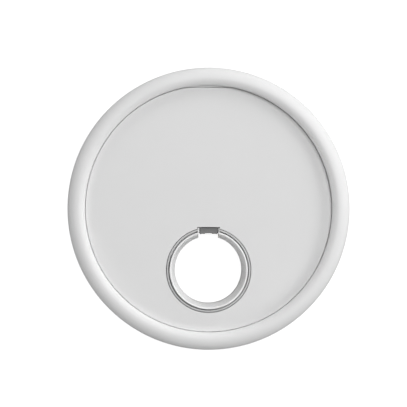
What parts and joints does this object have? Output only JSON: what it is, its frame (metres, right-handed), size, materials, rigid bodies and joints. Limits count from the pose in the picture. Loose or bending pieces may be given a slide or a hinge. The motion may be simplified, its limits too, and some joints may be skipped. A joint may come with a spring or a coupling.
{
  "type": "bluetooth tracker tag",
  "caption": "Round key-ring tracker tag with a soft raised rim, a keyed through hole lined by a sleeve with a recessed charge socket, and a front panel that clicks as a button.",
  "frame": {"origin": "middle of the disc on its flat rear face", "axes": "+Z out of the front panel, +Y from the key hole towards the index flat, +X to the right seen from the front"},
  "size_m": [0.04, 0.04, 0.0078],
  "materials": {
    "bumper_white": "satin",
    "panel_pale": "fine matte",
    "shell_white": "matte",
    "sleeve_white": "satin",
    "seal_grey": "matte",
    "gasket_clear": "matte",
    "block_grey": "matte",
    "contact_gold": "plated",
    "board_green": "solder mask",
    "screw_steel": "zinc plated",
    "dome_steel": "bright",
    "film_amber": "clear film",
    "cell_steel": "nickel plated",
    "grommet_black": "matte",
    "tab_nickel": "nickel",
    "foam_black": "open cell foam",
    "piezo_brass": "rolled",
    "ceramic_silvered": "silvered ceramic",
    "lead_insulation": "insulation",
    "chip_black": "moulded epoxy",
    "can_metal": "plated lid",
    "antenna_ceramic": "fired ceramic",
    "ferrite_grey": "ferrite",
    "capacitor_tan": "ceramic",
    "resistor_black": "glazed"
  },
  "bodies": {
    "case": {"rear_shell": "shell_white", "bumper_ring": "bumper_white", "panel_gasket": "gasket_clear", "eyelet_sleeve": "sleeve_white", "eyelet_seal": "seal_grey", "charge_contacts": "contact_gold", "contact_block": "block_grey", "main_board": "board_green", "board_screws": "screw_steel", "bluetooth_chip": "chip_black", "main_crystal": "can_metal", "clock_crystal": "can_metal", "chip_antenna": "antenna_ceramic", "charger_chip": "chip_black", "buzzer_driver": "chip_black", "boost_inductor": "ferrite_grey", "board_capacitors": "capacitor_tan", "board_resistors": "resistor_black", "switch_pads": "contact_gold", "switch_dome": "dome_steel", "dome_film": "film_amber", "battery_cell": "cell_steel", "battery_grommet": "grommet_black", "battery_cap": "cell_steel", "battery_tab_negative": "tab_nickel", "battery_tab_positive": "tab_nickel", "cell_insulator": "film_amber", "piezo_plate": "piezo_brass", "piezo_ceramic": "ceramic_silvered", "cell_foam": "foam_black", "piezo_leads": "lead_insulation"},
    "panel": {"front_panel": "panel_pale"}
  },
  "joints": [
    {"name": "panel_press", "type": "slide", "parent": "case", "child": "panel", "axis": [0, 0, -1], "range_m": [0, 0.00025], "stiffness_N_per_m": 6000, "deforming": ["panel_gasket", "switch_dome", "dome_film"]}
  ]
}
